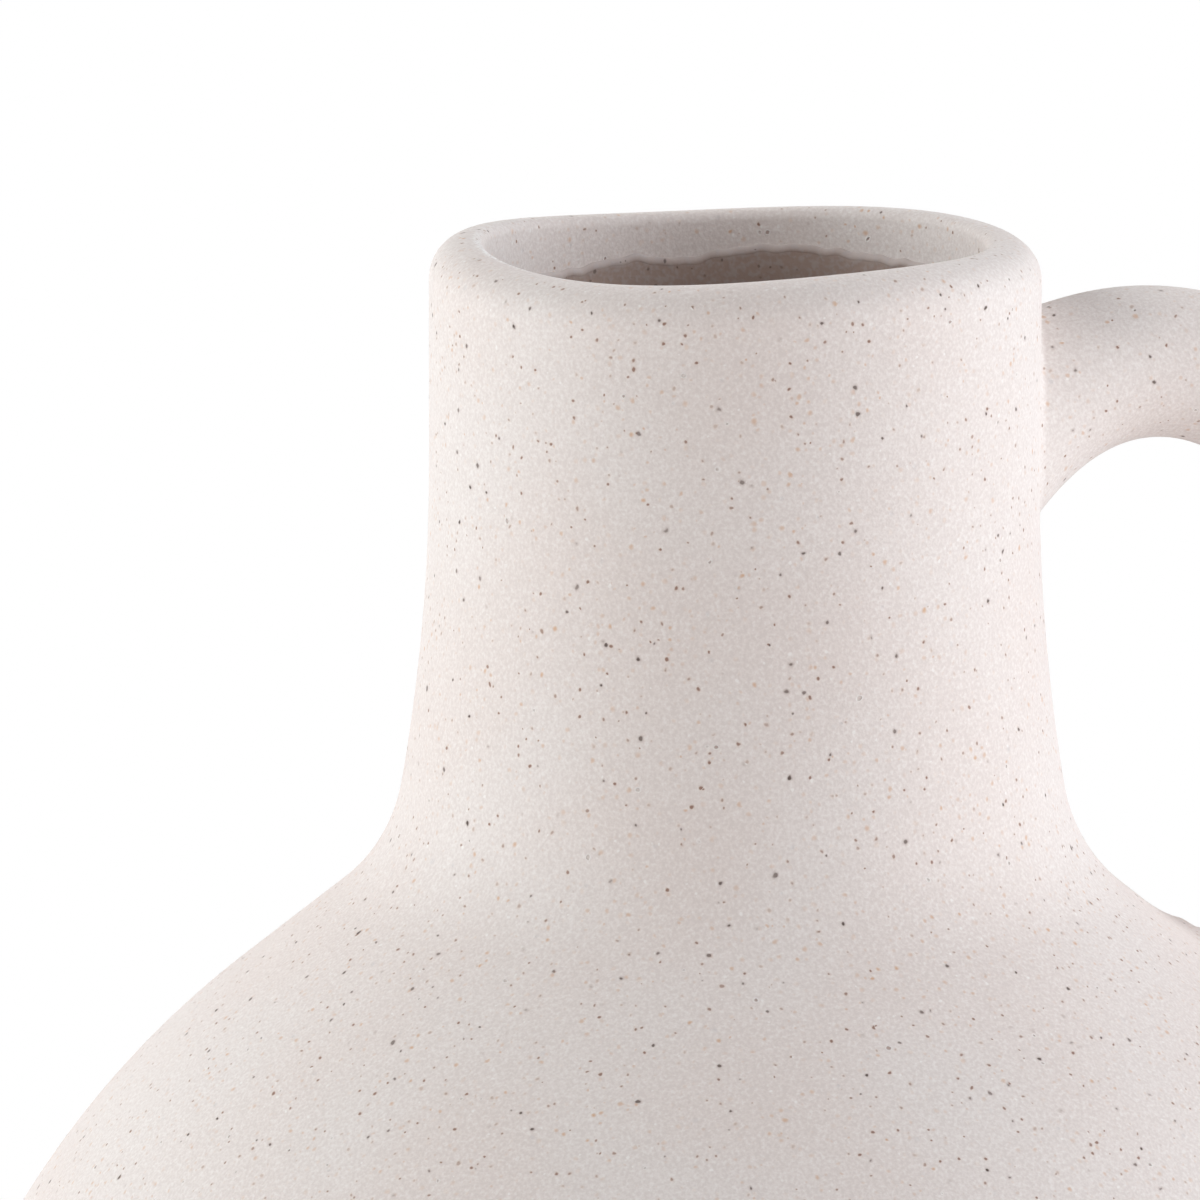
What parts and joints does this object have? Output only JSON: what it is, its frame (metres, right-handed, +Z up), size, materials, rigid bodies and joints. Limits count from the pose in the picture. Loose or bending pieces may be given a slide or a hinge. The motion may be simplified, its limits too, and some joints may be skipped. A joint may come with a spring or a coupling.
{
  "type": "jug vase",
  "caption": "Round-bellied stoneware jug with a wide open neck, a softly uneven rolled lip and one ear handle from neck to shoulder.",
  "frame": {"origin": "middle of the foot ring on the standing plane", "axes": "+Z up along the vessel's axis; +X towards the handle"},
  "size_m": [0.1978, 0.1978, 0.2609],
  "materials": {
    "stoneware": "matt, sandy, speckled brown",
    "liner_glaze": "satin glaze"
  },
  "bodies": {
    "root": {"foot_ring": "stoneware", "lower_bowl": "stoneware", "shoulder_dome": "stoneware", "neck_collar": "stoneware", "rolled_lip": "stoneware", "handle": "stoneware", "upper_luting_coil": "stoneware", "lower_luting_coil": "stoneware", "liner_glaze": "liner_glaze"}
  },
  "joints": []
}
